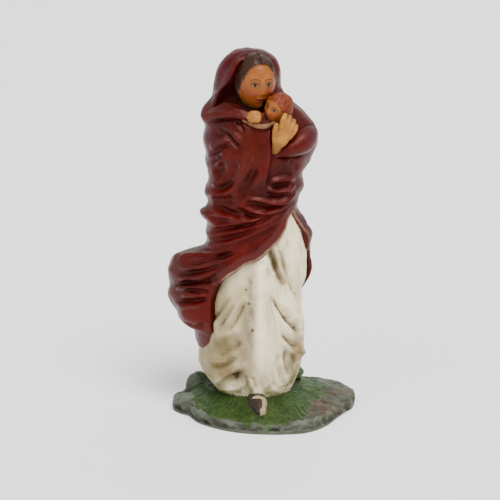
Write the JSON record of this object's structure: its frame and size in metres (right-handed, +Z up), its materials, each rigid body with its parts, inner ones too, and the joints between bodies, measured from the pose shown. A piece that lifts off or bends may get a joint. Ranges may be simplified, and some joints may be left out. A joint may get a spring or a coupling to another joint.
{
  "type": "woman and child figurine",
  "caption": "Painted cast figurine of a walking woman in a hooded cloak who holds a small child to her cheek, on a low mound of grass and rock.",
  "frame": {"origin": "on the flat underside that the figurine stands on, near the middle of the mound", "axes": "+Z up, -Y the way the figure faces and walks, +X on the right of someone looking at its face"},
  "size_m": [0.0837, 0.0657, 0.1599],
  "materials": {
    "painted_casting": "hand painted under a satin varnish: dark red cloak, ivory gown, green and grey mound"
  },
  "bodies": {
    "root": {"figurine": "painted_casting"}
  },
  "joints": []
}
